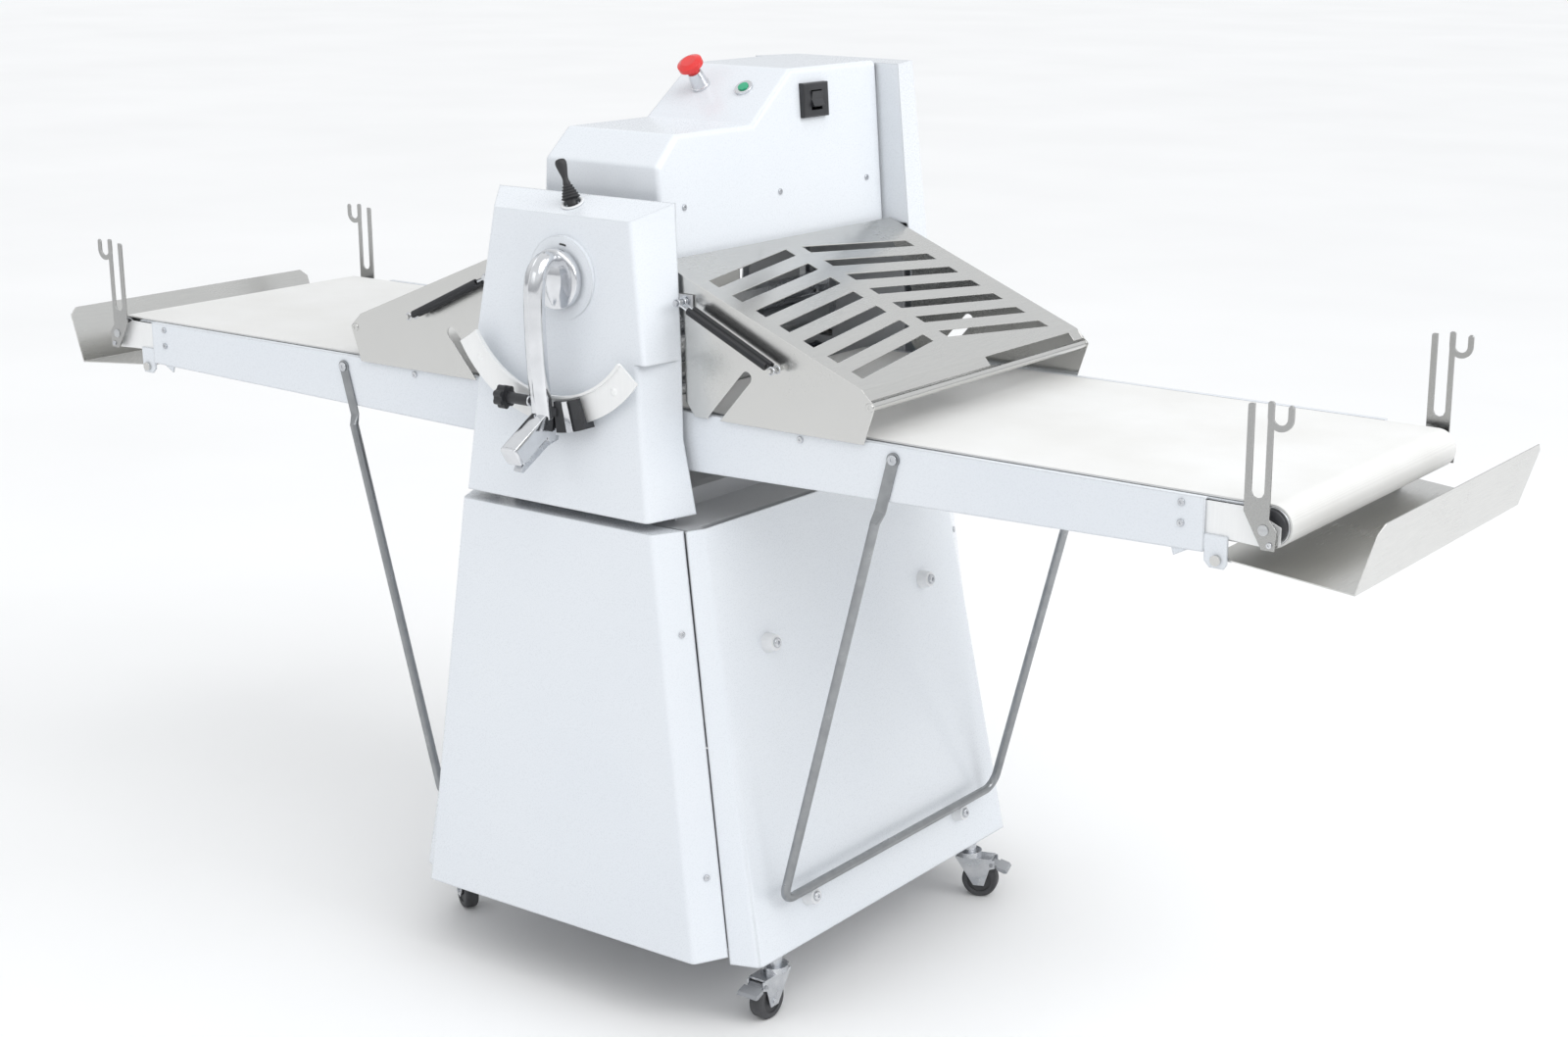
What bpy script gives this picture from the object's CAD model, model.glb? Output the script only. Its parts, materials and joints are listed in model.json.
"""Looks of the dough sheeter: finishes, springs, controls, light and camera, in metres in the CAD frame."""
import json
import math

import bmesh
import bpy
from mathutils import Matrix, Vector


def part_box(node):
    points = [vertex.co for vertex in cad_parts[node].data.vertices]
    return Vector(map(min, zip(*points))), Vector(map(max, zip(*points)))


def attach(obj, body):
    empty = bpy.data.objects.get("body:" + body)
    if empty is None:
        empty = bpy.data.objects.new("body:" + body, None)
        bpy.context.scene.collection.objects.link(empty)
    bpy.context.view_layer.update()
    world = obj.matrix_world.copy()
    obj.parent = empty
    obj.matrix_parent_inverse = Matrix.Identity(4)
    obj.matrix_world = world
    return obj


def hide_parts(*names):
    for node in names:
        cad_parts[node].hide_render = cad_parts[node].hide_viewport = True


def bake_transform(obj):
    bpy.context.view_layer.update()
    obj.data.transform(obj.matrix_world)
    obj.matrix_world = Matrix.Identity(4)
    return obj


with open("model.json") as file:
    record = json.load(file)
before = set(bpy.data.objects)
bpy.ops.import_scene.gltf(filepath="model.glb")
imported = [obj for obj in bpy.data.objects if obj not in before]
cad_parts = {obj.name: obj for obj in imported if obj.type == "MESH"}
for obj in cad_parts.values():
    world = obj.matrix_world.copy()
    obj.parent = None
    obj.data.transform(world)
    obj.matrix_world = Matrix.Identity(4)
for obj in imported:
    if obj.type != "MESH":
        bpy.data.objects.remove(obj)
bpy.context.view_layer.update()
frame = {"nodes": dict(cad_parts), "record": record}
NODES = frame["nodes"]
SIDES = {"right": 1, "left": -1}  # sign of X
ENDS = {"front": -1, "rear": 1}   # sign of Y
MM = 0.001


# ---------------------------------------------------------------- finishes
MIX_A, MIX_B, MIX_RESULT = 6, 7, 2  # colour sockets of a Mix node, whose names its other sockets share
SHARP_DOT, OPEN_DOT = 0.80, 0.985   # softened normal against true normal: on an edge, and clear of one


class Finish:
    """A node material built round one Principled shader, textured in the object's own space."""

    def __init__(self, name, stretch=(1, 1, 1)):
        self.material = bpy.data.materials.new(name)
        self.material.use_nodes = True
        self.tree = self.material.node_tree
        self.shader = self.tree.nodes["Principled BSDF"]
        coords = self.add("ShaderNodeTexCoord")
        mapping = self.add("ShaderNodeMapping")
        mapping.inputs["Scale"].default_value = stretch
        self.link(coords.outputs["Object"], mapping.inputs["Vector"])
        self.plain = coords.outputs["Object"]
        self.stretched = mapping.outputs["Vector"]

    def add(self, kind, **settings):
        node = self.tree.nodes.new(kind)
        for key, value in settings.items():
            setattr(node, key, value)
        return node

    def link(self, output, socket):
        self.tree.links.new(output, socket)

    def set(self, **values):
        for key, value in values.items():
            self.shader.inputs[key.replace("_", " ")].default_value = value

    def noise(self, scale, detail, rough=0.55, stretched=True):
        node = self.add("ShaderNodeTexNoise")
        node.inputs["Scale"].default_value = scale
        node.inputs["Detail"].default_value = detail
        node.inputs["Roughness"].default_value = rough
        self.link(self.stretched if stretched else self.plain, node.inputs["Vector"])
        return node.outputs["Fac"]

    def span(self, value, low, high, start=0.3, end=0.7):
        """Maps a noise value between start and end onto low to high."""
        node = self.add("ShaderNodeMapRange")
        node.inputs["From Min"].default_value = start
        node.inputs["From Max"].default_value = end
        node.inputs["To Min"].default_value = low
        node.inputs["To Max"].default_value = high
        self.link(value, node.inputs["Value"])
        return node.outputs["Result"]

    def blend(self, fac, first, second):
        """Mix of two colours; either may be a colour or a socket."""
        node = self.add("ShaderNodeMix", data_type="RGBA")
        self.link(fac, node.inputs["Factor"])
        for socket, value in ((node.inputs[MIX_A], first), (node.inputs[MIX_B], second)):
            if isinstance(value, tuple):
                socket.default_value = (*value, 1)
            else:
                self.link(value, socket)
        return node.outputs[MIX_RESULT]

    def edges(self, radius):
        """0 on open surfaces, 1 on sharp edges, with the softened normal they are found by."""
        bevel = self.add("ShaderNodeBevel", samples=4)
        bevel.inputs["Radius"].default_value = radius
        geometry = self.add("ShaderNodeNewGeometry")
        dot = self.add("ShaderNodeVectorMath", operation="DOT_PRODUCT")
        self.link(bevel.outputs["Normal"], dot.inputs[0])
        self.link(geometry.outputs["Normal"], dot.inputs[1])
        return self.span(dot.outputs["Value"], 1, 0, SHARP_DOT, OPEN_DOT), bevel.outputs["Normal"]

    def bump(self, height, strength, distance, normal=None):
        """Relief from a height value, over a softened normal where one is given."""
        node = self.add("ShaderNodeBump")
        node.inputs["Strength"].default_value = strength
        node.inputs["Distance"].default_value = distance
        self.link(height, node.inputs["Height"])
        if normal is not None:
            self.link(normal, node.inputs["Normal"])
        self.link(node.outputs["Normal"], self.shader.inputs["Normal"])

    def wire(self, colour, rough):
        """Connects colour and roughness, and gives the finished material."""
        self.link(colour, self.shader.inputs["Base Color"])
        self.link(rough, self.shader.inputs["Roughness"])
        return self.material


def rim_of(tone, gain, lift):
    """Brighter tone of a material's edges."""
    return tuple(min(1.0, c * gain + lift) for c in tone)


def painted(name, tone, shade, rough=(0.24, 0.34), radius=0.004, peel=0.05):
    """Powder coat: faint orange peel, soft corners, slightly thinner and brighter on its edges."""
    f = Finish(name)
    cloud = f.noise(2.2, 4, stretched=False)
    grain = f.noise(520, 2, stretched=False)
    edge, normal = f.edges(radius)
    body = f.blend(f.span(cloud, 0, 1), tone, shade)
    rim = rim_of(tone, 1.05, 0.01)
    f.bump(grain, peel, 0.0004, normal)
    f.set(Coat_Weight=0.25, Coat_Roughness=0.12, Specular_IOR_Level=0.45)
    return f.wire(f.blend(edge, body, rim), f.span(grain, *rough))


def brushed(name, tone, dark, stretch, rough=(0.24, 0.42), radius=0.0012, lines=0.10,
            metallic=1.0):
    """Brushed or turned metal: fine lines along one direction, smudges, bright worn edges."""
    f = Finish(name, stretch)
    line = f.noise(60, 4, 0.7)
    smudge = f.noise(6.5, 3, stretched=False)
    edge, normal = f.edges(radius)
    body = f.blend(f.span(line, 0, 1, 0.25, 0.75), tone, dark)
    rim = rim_of(tone, 1.25, 0.05)
    f.bump(line, lines, 0.0003, normal)
    f.set(Metallic=metallic, Anisotropic=0.25)
    smeared = f.add("ShaderNodeMath", operation="ADD")
    f.link(f.span(line, *rough), smeared.inputs[0])
    f.link(f.span(smudge, -0.04, 0.06), smeared.inputs[1])
    return f.wire(f.blend(edge, body, rim), smeared.outputs[0])


def plated(name, tone, dark, rough=(0.16, 0.34), cell=900, radius=0.0008, bump=0.12):
    """Plated or cast metal: crystal grain, darker pits, bright edges."""
    f = Finish(name)
    grains = f.add("ShaderNodeTexVoronoi")
    grains.inputs["Scale"].default_value = cell
    f.link(f.plain, grains.inputs["Vector"])
    cloud = f.noise(45, 4, stretched=False)
    edge, normal = f.edges(radius)
    body = f.blend(f.span(cloud, 0, 1), tone, dark)
    rim = rim_of(tone, 1.15, 0.04)
    f.bump(grains.outputs["Distance"], bump, 0.0003, normal)
    f.set(Metallic=1.0)
    return f.wire(f.blend(edge, body, rim), f.span(cloud, *rough))


def moulded(name, tone, shade, rough=(0.30, 0.48), grain=1400, radius=0.0010, bump=0.10,
            **extra):
    """Moulded plastic or rubber: fine spark-eroded grain and softened edges."""
    f = Finish(name)
    fine = f.noise(grain, 2, stretched=False)
    cloud = f.noise(28, 3, stretched=False)
    edge, normal = f.edges(radius)
    body = f.blend(f.span(cloud, 0, 1), tone, shade)
    rim = rim_of(tone, 1.35, 0.015)
    f.bump(fine, bump, 0.0004, normal)
    f.set(**extra)
    return f.wire(f.blend(edge, body, rim), f.span(cloud, *rough))


BANDS_PER_UNIT = 3.2  # bands that a wave texture of scale 1 draws in a metre


def woven(name, tone, shade, pitch):
    """Conveyor cloth: plain weave under a matt coating, with flour-worn lighter patches."""
    f = Finish(name)
    waves = []
    for axis in ("X", "Y"):
        wave = f.add("ShaderNodeTexWave", bands_direction=axis)
        wave.inputs["Scale"].default_value = 1 / pitch / BANDS_PER_UNIT
        wave.inputs["Distortion"].default_value = 0.6
        wave.inputs["Detail"].default_value = 1.0
        f.link(f.plain, wave.inputs["Vector"])
        waves.append(wave.outputs["Fac"])
    weave = f.add("ShaderNodeMath", operation="MULTIPLY")
    f.link(waves[0], weave.inputs[0])
    f.link(waves[1], weave.inputs[1])
    worn = f.noise(5.5, 5, stretched=False)
    body = f.blend(f.span(worn, 0, 1, 0.35, 0.7), tone, shade)
    fibre = f.add("ShaderNodeMix", data_type="RGBA", blend_type="MULTIPLY")
    fibre.inputs["Factor"].default_value = 0.10
    f.link(body, fibre.inputs[MIX_A])
    f.link(weave.outputs[0], fibre.inputs[MIX_B])
    f.bump(weave.outputs[0], 0.25, 0.0004)
    f.set(Sheen_Weight=0.15, Sheen_Roughness=0.5, Specular_IOR_Level=0.3)
    return f.wire(fibre.outputs[MIX_RESULT], f.span(worn, 0.55, 0.75))


# texture stretch that draws a brushed metal's lines along one axis
ALONG_X = (0.4, 9, 9)
ALONG_Y = (9, 0.4, 9)
ALONG_Z = (9, 9, 0.4)
FINISHES = {
    "white_paint": painted("powder_coat_white", (0.77, 0.80, 0.835), (0.74, 0.775, 0.82)),
    "frame_paint": painted("frame_paint_grey", (0.52, 0.53, 0.55), (0.46, 0.47, 0.49),
                           (0.4, 0.55), 0.002),
    "stainless": brushed("brushed_stainless", (0.66, 0.655, 0.635), (0.60, 0.60, 0.59), ALONG_Y,
                         (0.18, 0.27), lines=0.03),
    "zinc": plated("bright_zinc", (0.66, 0.67, 0.69), (0.50, 0.52, 0.55)),
    "satin_tube": plated("satin_tube", (0.34, 0.35, 0.36), (0.28, 0.29, 0.30), (0.26, 0.38),
                         1500, 0.0008, 0.03),
    "fork_sheet": brushed("fork_sheet", (0.46, 0.46, 0.45), (0.38, 0.38, 0.375), ALONG_Y,
                          (0.22, 0.36)),
    "sector_sheet": brushed("sector_sheet", (0.90, 0.905, 0.90), (0.86, 0.865, 0.865), ALONG_Z,
                            (0.36, 0.48), lines=0.04, metallic=0.35),
    "polished": plated("polished_casting", (0.76, 0.77, 0.79), (0.68, 0.69, 0.71), (0.08, 0.17),
                       300, 0.0016, 0.02),
    "cast_alloy": plated("cast_alloy", (0.70, 0.72, 0.74), (0.62, 0.64, 0.66), (0.28, 0.42),
                         700, 0.0012, 0.10),
    "roller_steel": brushed("turned_roller", (0.66, 0.67, 0.68), (0.55, 0.56, 0.57), ALONG_X,
                            (0.12, 0.24)),
    "roller_alloy": brushed("turned_alloy", (0.60, 0.61, 0.62), (0.50, 0.51, 0.52), ALONG_X,
                            (0.28, 0.42)),
    "motor_alloy": plated("motor_casting", (0.34, 0.37, 0.41), (0.27, 0.30, 0.34), (0.42, 0.58),
                          320, 0.002, 0.25),
    "chain_steel": plated("oiled_chain", (0.28, 0.27, 0.26), (0.17, 0.165, 0.16), (0.30, 0.50),
                          1100),
    "belt_cloth": woven("belt_weave", (0.80, 0.795, 0.775), (0.86, 0.86, 0.85), 0.0016),
    "white_plastic": moulded("white_plastic", (0.80, 0.81, 0.82), (0.75, 0.76, 0.78)),
    "black_plastic": moulded("black_plastic", (0.022, 0.023, 0.026), (0.032, 0.033, 0.037)),
    "grey_plastic": moulded("grey_plastic", (0.33, 0.34, 0.36), (0.27, 0.28, 0.30)),
    "red_plastic": moulded("red_plastic", (0.80, 0.035, 0.03), (0.70, 0.025, 0.025),
                           (0.16, 0.28), Coat_Weight=0.3),
    "green_plastic": moulded("green_plastic", (0.02, 0.42, 0.21), (0.015, 0.34, 0.17),
                             (0.14, 0.26), Coat_Weight=0.3),
    "wheel_rubber": moulded("wheel_tread", (0.045, 0.046, 0.05), (0.075, 0.076, 0.08),
                            (0.5, 0.7), 700, 0.0015, 0.2),
    "boot_rubber": moulded("boot_rubber", (0.020, 0.020, 0.022), (0.030, 0.030, 0.033),
                           (0.42, 0.58), 900, 0.001, 0.15),
}
SLOT_OF = {row["node"]: row["material_slot"] for row in frame["record"]["subparts"]}


def dress(piece, finish):
    """Gives every material slot of a piece one finish."""
    if piece.data.materials:
        for index in range(len(piece.data.materials)):
            piece.data.materials[index] = finish
    else:
        piece.data.materials.append(finish)


# nodes that look unlike the rest of their material slot
OWN_FINISH = {
    "strut_right": "satin_tube",
    "strut_left": "satin_tube",
    "pin_forks_right": "fork_sheet",
    "pin_forks_left": "fork_sheet",
    "sector_plate": "sector_sheet",
    "end_plates_right": "sector_sheet",
    "end_plates_left": "sector_sheet",
}
for name, node in NODES.items():
    dress(node, FINISHES[OWN_FINISH.get(name, SLOT_OF[name])])


# ---------------------------------------------------------------- shape helpers
SHARP_ANGLE = math.radians(38)


def as_mesh(name, bm):
    """Mesh of a finished bmesh, smooth but for its sharp edges."""
    bmesh.ops.recalc_face_normals(bm, faces=bm.faces)
    mesh = bpy.data.meshes.new(name)
    bm.to_mesh(mesh)
    bm.free()
    for face in mesh.polygons:
        face.use_smooth = True
    mesh.set_sharp_from_angle(angle=SHARP_ANGLE)
    return mesh


def joined_mesh(name, bm, rings):
    """Closed skin over rings of as many points each, with a face over both ends."""
    for first, second in zip(rings, rings[1:]):
        for k in range(len(first)):
            n = (k + 1) % len(first)
            bm.faces.new((first[k], first[n], second[n], second[k]))
    bm.faces.new(rings[0])
    bm.faces.new(list(reversed(rings[-1])))
    return as_mesh(name, bm)


def new_piece(name, mesh, body, slot):
    """Adds a piece in a slot's finish; one with no body is blended between two afterwards."""
    piece = bpy.data.objects.new(name, mesh)
    bpy.context.scene.collection.objects.link(piece)
    dress(piece, FINISHES[slot])
    if body:
        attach(piece, body)
    return piece


def tube_mesh(name, points, radius, sides):
    """Closed round tube along a line of points, without twist."""
    bm = bmesh.new()
    rings = []
    normal = None
    for i, point in enumerate(points):
        ahead = points[min(i + 1, len(points) - 1)] - points[max(i - 1, 0)]
        ahead.normalize()
        if normal is None:
            normal = ahead.orthogonal().normalized()
        normal = (normal - ahead * normal.dot(ahead)).normalized()
        across = ahead.cross(normal)
        ring = []
        for k in range(sides):
            angle = 2 * math.pi * k / sides
            out = normal * math.cos(angle) + across * math.sin(angle)
            ring.append(bm.verts.new(point + out * radius))
        rings.append(ring)
    return joined_mesh(name, bm, rings)


def lathe_mesh(name, profile, place, steps):
    """Body of revolution about the local Z axis, then placed; a profile may start and end on the axis."""
    bm = bmesh.new()
    angles = [2 * math.pi * k / steps for k in range(steps)]
    rings = []
    for radius, height in profile:
        if radius == 0:
            rings.append([bm.verts.new((0, 0, height))])
        else:
            rings.append([bm.verts.new((radius * math.cos(a), radius * math.sin(a), height))
                          for a in angles])
    for first, second in zip(rings, rings[1:]):
        for k in range(steps):
            n = (k + 1) % steps
            if len(first) == 1:
                bm.faces.new((first[0], second[n], second[k]))
            elif len(second) == 1:
                bm.faces.new((first[k], first[n], second[0]))
            else:
                bm.faces.new((first[k], first[n], second[n], second[k]))
    bm.transform(place)
    return as_mesh(name, bm)


def placed(origin, way):
    """Matrix that carries local +Z onto a direction at a point."""
    return Matrix.Translation(origin) @ Vector(way).to_track_quat("Z", "Y").to_matrix().to_4x4()


def scaled(points):
    """Points given in millimetres, in metres."""
    return [tuple(value * MM for value in point) for point in points]


# ---------------------------------------------------------------- coil springs of the guards
SPRING_STUD = (184, 1071)                  # X and Z of the stud on the column, mm
SPRING_PIN = (350, 994)                    # X and Z of the pin on the guard, mm
SPRING_ROWS = {"inner": 299, "outer": 312}  # Y of the two springs side by side, mm
COIL_TURNS, COIL_STEPS = 58, 12            # steps are the points of one turn
COIL_RADIUS, COIL_WIRE = 0.0042, 0.00125
EYE_RADIUS, EYE_WIRE, EYE_STEPS = 0.0052, 0.0013, 16
LINK_WIRE, LINK_START, LINK_END = 0.0016, 0.005, 0.020
STUD_GAP, PIN_GAP = 0.022, 0.010           # from the stud and the pin to the coil


def coil_points(start, end):
    """Centreline of a close-wound coil between two points."""
    way = (end - start).normalized()
    side = way.orthogonal().normalized()
    other = way.cross(side)
    length = (end - start).length
    count = COIL_TURNS * COIL_STEPS
    points = []
    for i in range(count + 1):
        angle = 2 * math.pi * i / COIL_STEPS
        out = side * math.cos(angle) + other * math.sin(angle)
        points.append(start + way * (length * i / count) + out * COIL_RADIUS)
    return points


def eye_points(centre):
    """Ring of wire round a stud or pin that runs along Y."""
    angles = [2 * math.pi * i / EYE_STEPS for i in range(EYE_STEPS + 1)]
    return [centre + Vector((math.cos(a), 0, math.sin(a))) * EYE_RADIUS for a in angles]


def add_springs(side):
    """Twin black coil springs with bright eyes, from the stud on the column to the pin on the guard."""
    guard = f"guard_flap_{side}"
    stud, pin = (Vector((SIDES[side] * x, 0, z)) * MM for x, z in (SPRING_STUD, SPRING_PIN))
    way = (pin - stud).normalized()
    for end, side_y in ENDS.items():
        for row, y in SPRING_ROWS.items():
            across = Vector((0, side_y * y * MM, 0))
            first, last = stud + across, pin + across
            where = f"{row}_{end}_{side}"
            coil = tube_mesh("coil", coil_points(first + way * STUD_GAP, last - way * PIN_GAP), COIL_WIRE, 6)
            piece = new_piece(f"spring_coil_{where}", coil, None, "black_plastic")
            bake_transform(piece)
            top = tube_mesh("eye", eye_points(first), EYE_WIRE, 8)
            new_piece(f"spring_eye_top_{where}", top, "machine", "zinc")
            link = tube_mesh("link", [first + way * LINK_START, first + way * LINK_END], LINK_WIRE, 8)
            new_piece(f"spring_link_{where}", link, "machine", "zinc")
            foot = tube_mesh("eye", eye_points(last), EYE_WIRE, 8)
            new_piece(f"spring_eye_foot_{where}", foot, guard, "zinc")
    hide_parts(f"guard_springs_{side}")


for side_name in SIDES:
    add_springs(side_name)


# ---------------------------------------------------------------- controls
LEVER_X, LEVER_Z = 8 * MM, 1095 * MM  # axis of the lever, along Y
HUB_FACE_Y = -0.374                   # front face of the hub, at its rim
NECK_WIDTH, NECK_RINGS = 0.80, 30     # the arm starts narrower and is full after so many rings
ROOT_STEPS, ROOT_ACROSS = 24, 6       # rings down the root, and points from its middle to a side
ARC_STEPS = 16
COLLAR_X = -0.0109                    # end of the clamp knob's stem, beside the arm
STICK = Vector((0, -0.319, 1.196))    # pivot of the joystick
STICK_LEAN = math.radians(20)
COLUMN_SLOPE = Vector((0, -0.403, 0.915))  # square to the column's sloping top
COVER_Y = 0.2645                      # inner face of the bearing covers


def smooth(points, steps):
    """Catmull-Rom curve through the points of a profile."""
    rows = [points[0]] + list(points) + [points[-1]]
    curve = []
    for corners in zip(rows, rows[1:], rows[2:], rows[3:]):
        for i in range(steps):
            t = i / steps
            curve.append(tuple(0.5 * (2 * q + (r - p) * t + (2 * p - 5 * q + 4 * r - s) * t * t
                                      + (3 * q - p - 3 * r + s) * t ** 3)
                               for p, q, r, s in zip(*corners)))
    curve.append(tuple(points[-1]))
    return curve


def arc_mesh(name, inner, outer, start, end, y0, y1):
    """Flat band round the lever's axis, between two radii, two angles in degrees and two Y planes."""
    bm = bmesh.new()
    corners = ((inner, y0), (outer, y0), (outer, y1), (inner, y1))
    rings = []
    for i in range(ARC_STEPS + 1):
        angle = math.radians(start + (end - start) * i / ARC_STEPS)
        x, z = math.cos(angle), math.sin(angle)
        rings.append([bm.verts.new((LEVER_X + r * x, y, LEVER_Z + r * z)) for r, y in corners])
    return joined_mesh(name, bm, rings)


def sweep_mesh(name, section, path, widths=None):
    """Closed section, as (across X, outward), swept along a path of (Y, Z) in the lever's mid plane."""
    bm = bmesh.new()
    rings = []
    for i, (y, z) in enumerate(path):
        y0, z0 = path[max(i - 1, 0)]
        y1, z1 = path[min(i + 1, len(path) - 1)]
        run = math.hypot(y1 - y0, z1 - z0)
        ty, tz = (y1 - y0) / run, (z1 - z0) / run
        wide = widths[i] if widths else 1.0
        rings.append([bm.verts.new((LEVER_X + u * wide, y + v * tz, z - v * ty)) for u, v in section])
    return joined_mesh(name, bm, rings)


def add_hub():
    """Hub disc of the lever."""
    profile = scaled([(0, 11.9), (43, 11.9), (44, 10), (44, 3.6), (42.9, 1.1), (40.2, 0), (36, -0.5),
                      (20, -1.4), (0, -1.8)])
    place = placed((LEVER_X, HUB_FACE_Y, LEVER_Z), (0, 1, 0))
    new_piece("lever_hub", lathe_mesh("hub", profile, place, 72), "lever", "polished")


def add_arm():
    """Swan-neck arm with a raised spine down its face."""
    section = scaled([(-16, -6), (-16, 2.2), (-13.6, 6.6), (-8.8, 9.3), (-3.2, 9.7), (0, 11.6), (3.2, 9.7),
                      (8.8, 9.3), (13.6, 6.6), (16, 2.2), (16, -6), (13, -9.8), (6, -10.5), (-6, -10.5),
                      (-13, -9.8)])
    line = [(-363, 23), (-378, 28.5), (-393, 29), (-406, 17), (-413, -4), (-415, -40), (-414, -90),
            (-410.5, -146), (-404, -196)]
    path = smooth([(y * MM, LEVER_Z + up * MM) for y, up in line], 8)
    widths = [NECK_WIDTH + (1 - NECK_WIDTH) * min(1.0, i / NECK_RINGS) for i in range(len(path))]
    arm = new_piece("lever_swan_neck", sweep_mesh("arm", section, path, widths), "lever", "polished")
    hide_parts("lever_arm")


def add_root():
    """Swelling ridge on the hub's face, under the start of the arm."""
    bm = bmesh.new()
    rings = []
    for i in range(ROOT_STEPS + 1):
        t = i / ROOT_STEPS
        swell = math.sin(math.pi * min(max(t, 0.012), 0.988))  # the ends stay a little open
        wide = 18 * MM * swell ** 0.65
        high = (1.0 + 17 * swell ** 0.8 * (1 - 0.35 * t)) * MM
        ring = []
        for k in range(-ROOT_ACROSS, ROOT_ACROSS + 1):
            u = k / ROOT_ACROSS
            lift = high * (1 - abs(u) ** 0.8)
            ring.append(bm.verts.new((LEVER_X + wide * u, HUB_FACE_Y - 0.5 * MM - lift,
                                      LEVER_Z + (38 - 76 * t) * MM)))
        rings.append(ring)
    new_piece("lever_root", joined_mesh("root", bm, rings), "lever", "polished")


def add_grip():
    """Channel-shaped grip that the trigger moves in, closed at its end, with cheeks beside the pin."""
    channel = scaled([(-15, -15), (-15, 9), (-13.2, 13.2), (-9, 15), (9, 15), (13.2, 13.2), (15, 9), (15, -15),
                      (7.7, -15), (7.7, 4), (-7.7, 4), (-7.7, -15)])
    solid = scaled([(-15, -11), (-15, 9), (-13.2, 13.2), (-9, 15), (9, 15), (13.2, 13.2), (15, 9), (15, -11),
                    (13, -15), (-13, -15)])
    start, end = Vector((-0.3935, LEVER_Z - 0.1935)), Vector((-0.4725, LEVER_Z - 0.2405))
    along = (end - start) / 10  # a tenth of the grip's length
    bar = [tuple(start + along * i) for i in (*range(10), 9.6)]
    cap = [tuple(start + along * i) for i in (9.55, 9.8, 10)]
    new_piece("lever_grip", sweep_mesh("grip", channel, bar), "lever", "polished")
    new_piece("lever_grip_end", sweep_mesh("cap", solid, cap, (1, 1, 0.93)), "lever", "polished")
    outline = scaled([(-11, -8), (-13, -4), (-13, 4), (-11, 8), (11, 8), (13, 4), (13, -4), (11, -8)])
    pin_y, pin_z = -0.4, LEVER_Z - 0.216
    for side, sign in SIDES.items():
        bm = bmesh.new()
        faces = [[bm.verts.new((LEVER_X + sign * x * MM, pin_y + v, pin_z + u)) for u, v in outline]
                 for x in (7.7, 13)]
        new_piece(f"lever_cheek_{side}", joined_mesh("cheek", bm, faces), "lever", "polished")


def add_lever_trim():
    """Bright collar of the clamp knob, chrome strip on the index slider, and the mark beside the hub."""
    knob_low, knob_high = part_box("star_knob")
    slider_low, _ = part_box("lever_slider")
    knob_axis = (knob_low + knob_high) / 2
    collar = [(0.0041, 0), (0.0078, 0), (0.0082, 0.0006), (0.0082, 0.0019), (0.0076, 0.0025), (0.0041, 0.0025),
              (0.0041, 0)]
    place = placed((COLLAR_X, knob_axis.y, knob_axis.z), (1, 0, 0))
    new_piece("knob_collar", lathe_mesh("collar", collar, place, 32), "knob", "polished")
    strip = arc_mesh("strip", 0.1722, 0.2168, 281.2, 284.4, slider_low.y - 0.0006, slider_low.y + 0.002)
    new_piece("slider_strip", strip, "lever", "polished")
    mark = arc_mesh("mark", 0.0475, 0.0500, 76, 90, -0.3582, -0.3574)
    new_piece("hub_mark", mark, "machine", "black_plastic")


def add_joystick():
    """Ribbed bellows, waisted stem and pear-shaped grip, with the ring that clamps the bellows."""
    bellows = [(4.0, -6.5), (7.4, -3), (7.6, 3), (8.5, 6.2)]
    for i in range(5):
        wide, base = 13.6 - 1.45 * i, 8.0 + 4.1 * i
        bellows += [(wide, base + 0.6), (wide - 0.2, base + 2.2), (wide - 2.2, base + 3.4)]
    grip = [(5.6, 30.5), (4.5, 35), (4.4, 39), (5.4, 44), (7.1, 51), (8.2, 57), (8.2, 61), (6.6, 64.6),
            (3.4, 66)]
    profile = smooth(scaled(bellows + grip), 4)
    profile = [(0.0, profile[0][1])] + profile + [(0.0, profile[-1][1] + 0.2 * MM)]
    place = placed(STICK, (-math.sin(STICK_LEAN), 0, math.cos(STICK_LEAN)))
    stick = new_piece("joystick_boot", lathe_mesh("boot", profile, place, 48), "stick", "boot_rubber")
    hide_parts("joystick")
    ring = scaled([(12.4, 0.2), (17.0, 0.2), (17.3, 1.2), (16.6, 2.6), (14.6, 3.1), (13.0, 2.4), (12.4, 0.2)])
    seat = placed(STICK, COLUMN_SLOPE)
    new_piece("joystick_ring", lathe_mesh("ring", ring, seat, 48), "machine", "white_plastic")


def add_bearing_covers():
    """Dark covers between the end rollers and the end plates of the tables."""
    profile = [(0.0075, 0.0), (0.0215, 0.0), (0.0225, 0.0008), (0.0225, 0.0050), (0.0205, 0.0066),
               (0.0120, 0.0072), (0.0075, 0.0072), (0.0075, 0.0)]
    for side in SIDES:
        low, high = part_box(f"end_roller_{side}")
        centre = (low + high) / 2
        for end, side_y in ENDS.items():
            place = placed((centre.x, side_y * COVER_Y, centre.z), (0, side_y, 0))
            mesh = lathe_mesh("cover", profile, place, 40)
            new_piece(f"bearing_cover_{end}_{side}", mesh, f"end_roll_{side}", "black_plastic")


add_hub()
add_arm()
add_root()
add_grip()
add_joystick()
add_lever_trim()
add_bearing_covers()


# ---------------------------------------------------------------- floor, light and camera
FLOOR_RADIUS = 90
SKY_LOW, SKY_HIGH = (0.50, 0.51, 0.53, 1), (0.97, 0.985, 1.0, 1)
SKY_STOPS = (0.50, 0.66)  # horizon at 0.5, straight up at 1
SKY_STRENGTH = 0.88


def add_to_scene(name, data):
    holder = bpy.data.objects.new(name, data)
    bpy.context.scene.collection.objects.link(holder)
    return holder


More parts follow.
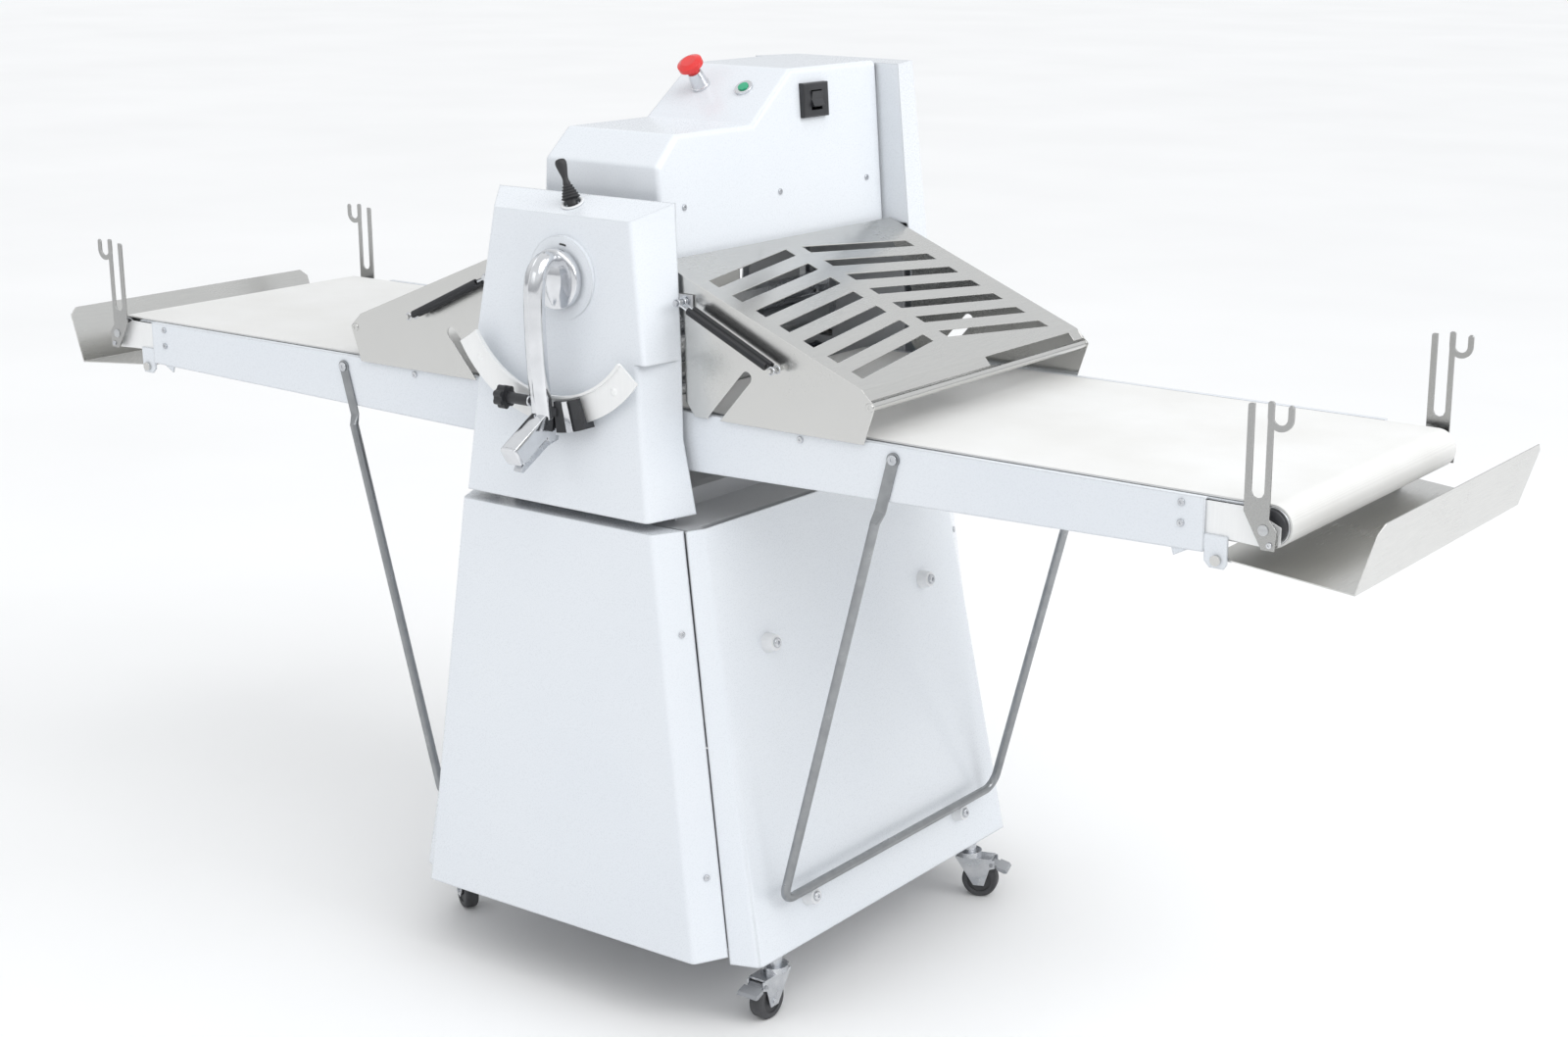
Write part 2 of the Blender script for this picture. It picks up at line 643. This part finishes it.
def add_softbox(name, place, target, size, power):
    """Rectangular area light at a place, facing a target."""
    lamp = bpy.data.lights.new(name, "AREA")
    lamp.shape = "RECTANGLE"
    lamp.size, lamp.size_y = size
    lamp.energy = power
    holder = add_to_scene(name, lamp)
    holder.location = place
    holder.rotation_euler = (Vector(target) - Vector(place)).to_track_quat("-Z", "Y").to_euler()


def add_floor():
    """Wide pale floor."""
    bm = bmesh.new()
    bmesh.ops.create_circle(bm, cap_ends=True, segments=96, radius=FLOOR_RADIUS)
    mesh = bpy.data.meshes.new("floor")
    bm.to_mesh(mesh)
    bm.free()
    floor = add_to_scene("floor", mesh)
    f = Finish("studio_floor")
    cloud = f.noise(0.7, 3, stretched=False)
    colour = f.blend(f.span(cloud, 0, 1), (0.90, 0.90, 0.90), (0.93, 0.93, 0.93))
    dress(floor, f.wire(colour, f.span(cloud, 0.75, 0.9)))


def add_sky():
    """Soft dome, grey at the horizon and near white above."""
    world = bpy.data.worlds.new("studio")
    world.use_nodes = True
    tree = world.node_tree
    coords = tree.nodes.new("ShaderNodeTexCoord")
    split = tree.nodes.new("ShaderNodeSeparateXYZ")
    ramp = tree.nodes.new("ShaderNodeValToRGB")
    for stop, position, colour in zip(ramp.color_ramp.elements, SKY_STOPS, (SKY_LOW, SKY_HIGH)):
        stop.position = position
        stop.color = colour
    lift = tree.nodes.new("ShaderNodeMapRange")
    lift.inputs["From Min"].default_value = -1
    tree.links.new(coords.outputs["Generated"], split.inputs[0])
    tree.links.new(split.outputs["Z"], lift.inputs["Value"])
    tree.links.new(lift.outputs["Result"], ramp.inputs["Fac"])
    tree.links.new(ramp.outputs["Color"], tree.nodes["Background"].inputs["Color"])
    tree.nodes["Background"].inputs["Strength"].default_value = SKY_STRENGTH
    bpy.context.scene.world = world


def add_lights():
    """Key panel at the right, weak panel in front, and broad soft light from above."""
    add_softbox("key", (3.8, 0.6, 3.4), (0, 0, 0.9), (2.6, 2.2), 62)
    add_softbox("front", (-1.6, -4.4, 2.8), (0, 0, 0.8), (2.0, 2.0), 10)
    sun = bpy.data.lights.new("sky_panel", "SUN")
    sun.energy = 0.75
    sun.angle = math.radians(50)
    add_to_scene("sky_panel", sun).rotation_euler = (math.radians(18), math.radians(34), 0)


def add_camera():
    """Three-quarter view from the front right, a little above the belts."""
    eye = Vector((2.32813, -2.87757, 1.65519))
    target = Vector((0.0068, 0.4910, 0.5196))
    roll = math.radians(0.4183)
    back = (eye - target).normalized()
    right = Vector((0, 0, 1)).cross(back).normalized()
    up = back.cross(right)
    turned = right * math.cos(roll) + up * math.sin(roll)
    raised = up * math.cos(roll) - right * math.sin(roll)
    camera = bpy.data.cameras.new("camera")
    camera.sensor_width = 36
    camera.lens = 55.02
    camera.shift_x = -0.0712
    camera.shift_y = 0.0125
    holder = add_to_scene("camera", camera)
    axes = Matrix((turned, raised, back)).transposed()
    holder.matrix_world = Matrix.Translation(eye) @ axes.to_4x4()
    bpy.context.scene.camera = holder


add_floor()
add_sky()
add_lights()
add_camera()
bpy.context.scene.view_settings.view_transform = "Standard"
